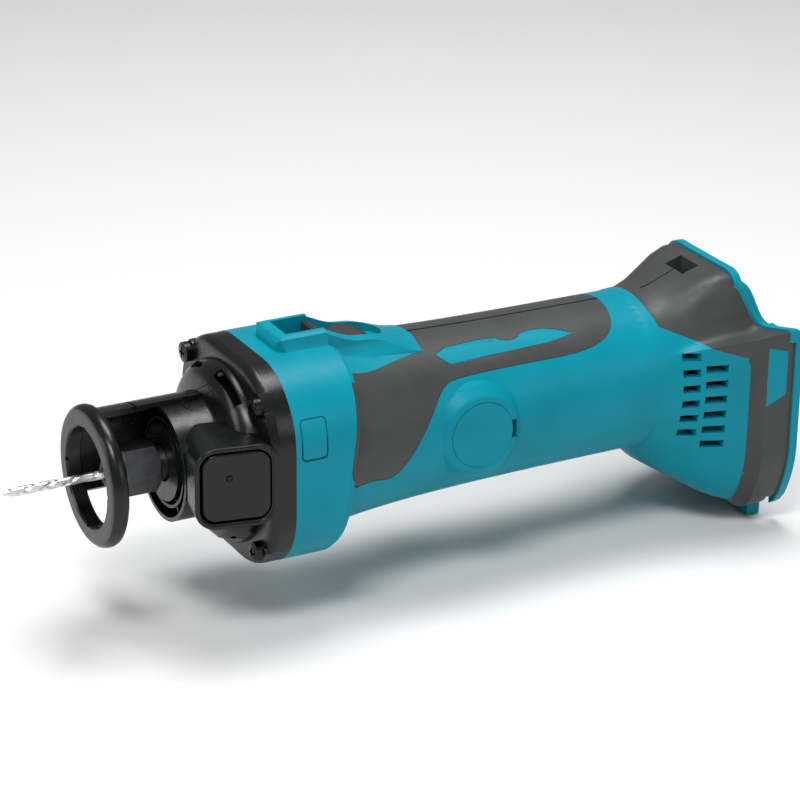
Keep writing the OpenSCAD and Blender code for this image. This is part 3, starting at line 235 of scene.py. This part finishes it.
def smooth_mesh(bm, name, smooth_angle):
    """Turns a bmesh into a mesh that looks smooth, apart from edges that turn more than an angle in degrees."""
    for face in bm.faces:
        face.smooth = True
    for edge in bm.edges:
        edge.smooth = edge.calc_face_angle(0.0) < math.radians(smooth_angle)
    mesh = bpy.data.meshes.new(name)
    bm.to_mesh(mesh)
    bm.free()
    return mesh


# Corners of a CAD mesh closer than this are one corner, and faces that turn less than this are one face
WELD = 0.004 * MM
FLAT = math.radians(0.4)
# Edges that turn more than this are rounded
ROUNDED_FROM = math.radians(40)
# Above 50, large faces lead the shading where they meet small ones
FACE_WEIGHT = 60


def rounded_copy(node, smooth_angle, radius_mm, clamped):
    """Stands for a node whose shape is right: a copy with smooth facets, and edges rounded as they were made."""
    name = node + "_finished"
    bm = bmesh.new()
    bm.from_mesh(NODES[node].data)
    bmesh.ops.remove_doubles(bm, verts=bm.verts, dist=WELD)
    bmesh.ops.dissolve_limit(bm, angle_limit=FLAT, verts=bm.verts, edges=bm.edges, delimit={"NORMAL"})
    piece = new_piece(name, smooth_mesh(bm, name, smooth_angle), FINISH[node], node)
    bevel = piece.modifiers.new("edge_radius", "BEVEL")
    bevel.width = radius_mm * MM
    bevel.segments = 2
    bevel.profile = 0.5
    bevel.limit_method = "ANGLE"
    bevel.angle_limit = ROUNDED_FROM
    bevel.use_clamp_overlap = clamped
    bevel.harden_normals = True
    bevel.miter_outer = "MITER_ARC"
    shading = piece.modifiers.new("even_shading", "WEIGHTED_NORMAL")
    shading.keep_sharp = True
    shading.weight = FACE_WEIGHT
    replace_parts(piece, node)


# Node, smooth angle in degrees, edge radius in mm, and whether short edges hold the radius back. They have to on a
# mesh with tiny edges, where a full radius would throw spikes.
for row in (
        ("housing_left", 30, 0.35, True),
        ("housing_right", 30, 0.35, True),
        ("grip_left", 30, 0.45, False),
        ("grip_right", 30, 0.45, True),
        ("foot_grip_left", 30, 0.45, True),
        ("foot_grip_right", 30, 0.45, True),
        ("front_housing", 30, 0.35, True),
        ("shoe", 30, 0.6, True),
        ("switch_knob", 25, 0.5, True),
        ("lock_button", 30, 0.6, False),
        ("clamp_lever", 30, 0.5, True),
        ("collet_nut", 20, 0.3, True)):
    rounded_copy(*row)


def lay_on_axis(bm, verts, x):
    """Turns an upright form onto the spindle's axis, with its middle at x."""
    bmesh.ops.rotate(bm, verts=verts, cent=(0, 0, 0), matrix=Matrix.Rotation(math.pi / 2, 3, "Y"))
    bmesh.ops.translate(bm, verts=verts, vec=(x, 0, 0))


def ground_bit():
    """The cutting bit: a two-flute profile carried along and round its axis, a blunt tip and a plain shank."""
    name = "cutting_bit_ground"
    low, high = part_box("cutting_bit")
    tip_x, rear_x = low[0], high[0]
    radius = 1.58 * MM
    tip_radius, tip_front_radius, tip_length = 0.75 * MM, 0.55 * MM, 2.2 * MM
    flutes_x, shank_x = tip_x + tip_length, 6.9 * MM
    fluted = shank_x - flutes_x
    flute_depth = 0.26  # of the radius
    flute_pinch = 1.5  # above 1 leaves wider lands between the flutes
    pitch = 17 * MM
    steps = 110

    bm = bmesh.new()
    profile = bmesh.ops.create_circle(bm, segments=32, radius=radius, cap_ends=False)["verts"]
    for vert in profile:
        turn = math.atan2(vert.co.y, vert.co.x)
        vert.co *= 1 - flute_depth * max(0.0, math.cos(2 * turn)) ** flute_pinch
    lay_on_axis(bm, profile, flutes_x)
    bmesh.ops.spin(bm, geom=bm.edges[:], cent=(0, 0, 0), axis=(1, 0, 0), dvec=(fluted / steps, 0, 0),
                   angle=-2 * math.pi * fluted / pitch, steps=steps, use_merge=False)
    bmesh.ops.holes_fill(bm, edges=[e for e in bm.edges if e.is_boundary], sides=0)
    tip = bmesh.ops.create_cone(bm, cap_ends=True, segments=24, radius1=tip_front_radius, radius2=tip_radius,
                                depth=tip_length)["verts"]
    lay_on_axis(bm, tip, (tip_x + flutes_x) / 2)
    shank = bmesh.ops.create_cone(bm, cap_ends=True, segments=32, radius1=radius, radius2=radius,
                                  depth=rear_x - shank_x)["verts"]
    lay_on_axis(bm, shank, (shank_x + rear_x) / 2)
    bmesh.ops.recalc_face_normals(bm, faces=bm.faces)
    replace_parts(new_piece(name, smooth_mesh(bm, name, 28), BIT_STEEL, "cutting_bit"), "cutting_bit")


ground_bit()


def foot_window(name, side):
    """Teal plastic that shows through a bare window in the foot's grip, on the left side at -1 and the right at 1."""
    corners = ((256.4, 15.6), (265, 12.9), (265, -4.3), (256.4, -8.1))
    grip_face = 38.4 * MM
    let_in, proud = 0.3 * MM, 0.12 * MM
    corner_radius, rim_radius = 0.8 * MM, 0.12 * MM
    same_place = 1e-6

    bm = bmesh.new()
    back = bm.faces.new([bm.verts.new((x * MM, let_in - grip_face, z * MM)) for x, z in corners])
    grown = bmesh.ops.extrude_face_region(bm, geom=[back])["geom"]
    front = [v for v in grown if isinstance(v, bmesh.types.BMVert)]
    bmesh.ops.translate(bm, verts=front, vec=(0, -(let_in + proud), 0))
    upright = [e for e in bm.edges if abs(e.verts[0].co.y - e.verts[1].co.y) > same_place]
    bmesh.ops.bevel(bm, geom=upright, offset=corner_radius, offset_type="OFFSET", affect="EDGES", segments=4,
                    profile=0.5, material=-1)
    outer = min(v.co.y for v in bm.verts)
    rim = [e for e in bm.edges if all(abs(v.co.y - outer) < same_place for v in e.verts)]
    bmesh.ops.bevel(bm, geom=rim, offset=rim_radius, offset_type="OFFSET", affect="EDGES", segments=2,
                    profile=0.5, material=-1)
    bmesh.ops.scale(bm, verts=bm.verts, vec=(1, -side, 1))
    bmesh.ops.recalc_face_normals(bm, faces=bm.faces)
    new_piece(name, smooth_mesh(bm, name, 40), TEAL, "housing_left")


foot_window("foot_window_left", -1)
foot_window("foot_window_right", 1)

# A laid line has a point in the surface every 1.2 mm, and its middle lies under it by this share of its radius
LINE_STEP = 1.2 * MM
SUNK = 0.3


def laid_line(name, points, node, material, width_mm, closed=False):
    """A thread laid in a node's surface, for a lip, or in a dark material as painted shade of a groove or parting
    line. Its points fall to the surface.
    """
    skin = NODES[node].data
    tree = BVHTree.FromPolygons([v.co for v in skin.vertices], [f.vertices for f in skin.polygons])
    stops = [Vector(point) * MM for point in points]
    if closed:
        stops.append(stops[0])
    path = []
    for start, end in zip(stops, stops[1:]):
        steps = max(1, round((end - start).length / LINE_STEP))
        path += [start.lerp(end, i / steps) for i in range(steps)]
    if not closed:
        path.append(stops[-1])

    radius = width_mm / 2 * MM
    curve = bpy.data.curves.new(name, "CURVE")
    curve.dimensions = "3D"
    curve.bevel_depth = radius
    curve.bevel_resolution = 2
    curve.use_fill_caps = True
    spline = curve.splines.new("POLY")
    spline.points.add(len(path) - 1)
    spline.use_cyclic_u = closed
    for knot, point in zip(spline.points, path):
        place, normal, _, _ = tree.find_nearest(point)
        knot.co = (*(place - normal * radius * SUNK), 1)
    drawn = bpy.data.objects.new(name, curve)
    mesh = bpy.data.meshes.new_from_object(drawn)
    bpy.data.objects.remove(drawn)
    for face in mesh.polygons:
        face.use_smooth = True
    new_piece(name, mesh, material, node)


def rounded_outline(width, height, corner, turns=5):
    """Points of a rounded rectangle about the origin, with some steps round each corner."""
    points = []
    for right_left, up_down, start in ((1, 1, 0), (-1, 1, 90), (-1, -1, 180), (1, -1, 270)):
        for i in range(turns + 1):
            angle = math.radians(start + 90 * i / turns)
            points.append((right_left * (width / 2 - corner) + corner * math.cos(angle),
                           up_down * (height / 2 - corner) + corner * math.sin(angle)))
    return points


# Sizes and places of the lines are in mm

# Painted shade of the split between the two rubber shells: a dark thread along the top of the handle and up the hood
above_handle = 60
laid_line("grip_parting_line_shade", [(x, 0, above_handle) for x in range(100, 212, 4)], "grip_left", SHADE, 0.45)
laid_line("hood_parting_line_shade", [(223, 0, 34), (228, 0, 38), (233, 0, 40), (237, 0, 41)], "foot_grip_left", SHADE, 0.5)

# Painted shade of a shallow groove that outlines a panel on the side of the body and follows its rounded shoulder.
# Below the shoulder its points start further out, so that each falls to the wall at its own height.
panel_x, panel_z, shoulder_z = 69.2, 16.6, 14.6
panel = [(panel_x + x, panel_z + z) for x, z in rounded_outline(9.6, 16.6, 1.8)]
laid_line("body_panel_groove_shade", [(x, -60 if z < shoulder_z else -40, z) for x, z in panel], "housing_left",
          TEAL_SHADE, 0.4, True)

# Raised lip round the shaft lock button, whose frame leans in towards the nose
frame_middle = Vector((40.9, -35.2, 2.5))
frame_lean = Matrix.Rotation(math.radians(-11), 3, "Z")
lip = [frame_middle + frame_lean @ Vector((x, 0, z)) for x, z in rounded_outline(27.4, 28.4, 6.2)]
laid_line("lock_button_lip", lip, "front_housing", BLACK, 1.5, True)

# Painted shade of a small square groove on top of the nose
mark_x, mark_y, above_nose = 38.6, -5, 30
mark = [(mark_x + x, mark_y - y, above_nose) for x, y in rounded_outline(5, 5, 0.6, 2)]
laid_line("nose_mark_groove_shade", mark, "front_housing", SHADE, 0.3, True)


# Camera, light and floor

def softbox(name, location, target, watts, size):
    """A rectangular soft light that faces a point of the tool."""
    data = bpy.data.lights.new(name, "AREA")
    data.energy = watts
    data.shape = "RECTANGLE"
    data.size, data.size_y = size
    light = put_in_scene(name, data)
    light.location = location
    light.rotation_euler = (Vector(target) - Vector(location)).to_track_quat("-Z", "Y").to_euler()


# Place, turn and lens were solved from points of the photo
camera_right = (0.88247611, -0.47021902, 0.01140146)
camera_up = (0.17512235, 0.35096226, 0.91986828)
camera_back = (-0.43654104, -0.80976513, 0.39206167)
camera_place = (-0.36417, -0.90284, 0.44286)
camera_data = bpy.data.cameras.new("camera")
camera_data.sensor_width = 36.0
camera_data.lens = 138.94
camera_data.clip_end = 20
camera = put_in_scene("camera", camera_data)
turn = Matrix((camera_right, camera_up, camera_back)).transposed()
camera.matrix_world = Matrix.Translation(camera_place) @ turn.to_4x4()
bpy.context.scene.camera = camera

softbox("key", (-0.35, -0.55, 1.0), (0.11, 0, 0), 8.5, (0.4, 0.28))
softbox("top", (0.3, 0.15, 1.1), (0.13, 0, 0), 11, (0.6, 0.5))
softbox("side", (-1.0, 0.1, 0.5), (0.1, 0, 0), 3, (0.35, 0.5))
softbox("fill", (0.7, -1.1, 0.5), (0.14, 0, 0), 2.2, (0.6, 0.5))

world = bpy.data.worlds.new("studio")
world.use_nodes = True
studio_light = world.node_tree.nodes["Background"]
studio_light.inputs["Color"].default_value = (1, 1, 1, 1)
studio_light.inputs["Strength"].default_value = 0.24
bpy.context.scene.world = world
bpy.context.scene.view_settings.view_transform = "Standard"

# Pale matt paper, whose fibres of about 1 mm break the sheen a little. It lies just under the tool.
floor_gap = 0.5 * MM
fibres_per_metre = 900.0
paper_material, paper_tree, paper_place = start_material("paper_white_matt")
fibres = add(paper_tree, "ShaderNodeTexNoise", {"Scale": fibres_per_metre}, {"Vector": paper_place}).outputs[0]
paper_roughness = add(paper_tree, "ShaderNodeMapRange",
                      {"From Min": NOISE_LOW, "From Max": NOISE_HIGH, "To Min": 0.8, "To Max": 0.9},
                      {"Value": fibres}).outputs[0]
paper = add(paper_tree, "ShaderNodeBsdfPrincipled", {"Base Color": linear("#E2E2E2")},
            {"Roughness": paper_roughness}).outputs[0]
add(paper_tree, "ShaderNodeOutputMaterial", links={"Surface": paper})

sheet = bmesh.new()
bmesh.ops.create_grid(sheet, x_segments=2, y_segments=2, size=6.0)
bmesh.ops.translate(sheet, verts=sheet.verts, vec=(0, 0, cad_box[0][2] - floor_gap))
floor_mesh = smooth_mesh(sheet, "floor", 30)
floor_mesh.materials.append(paper_material)
put_in_scene("floor", floor_mesh)
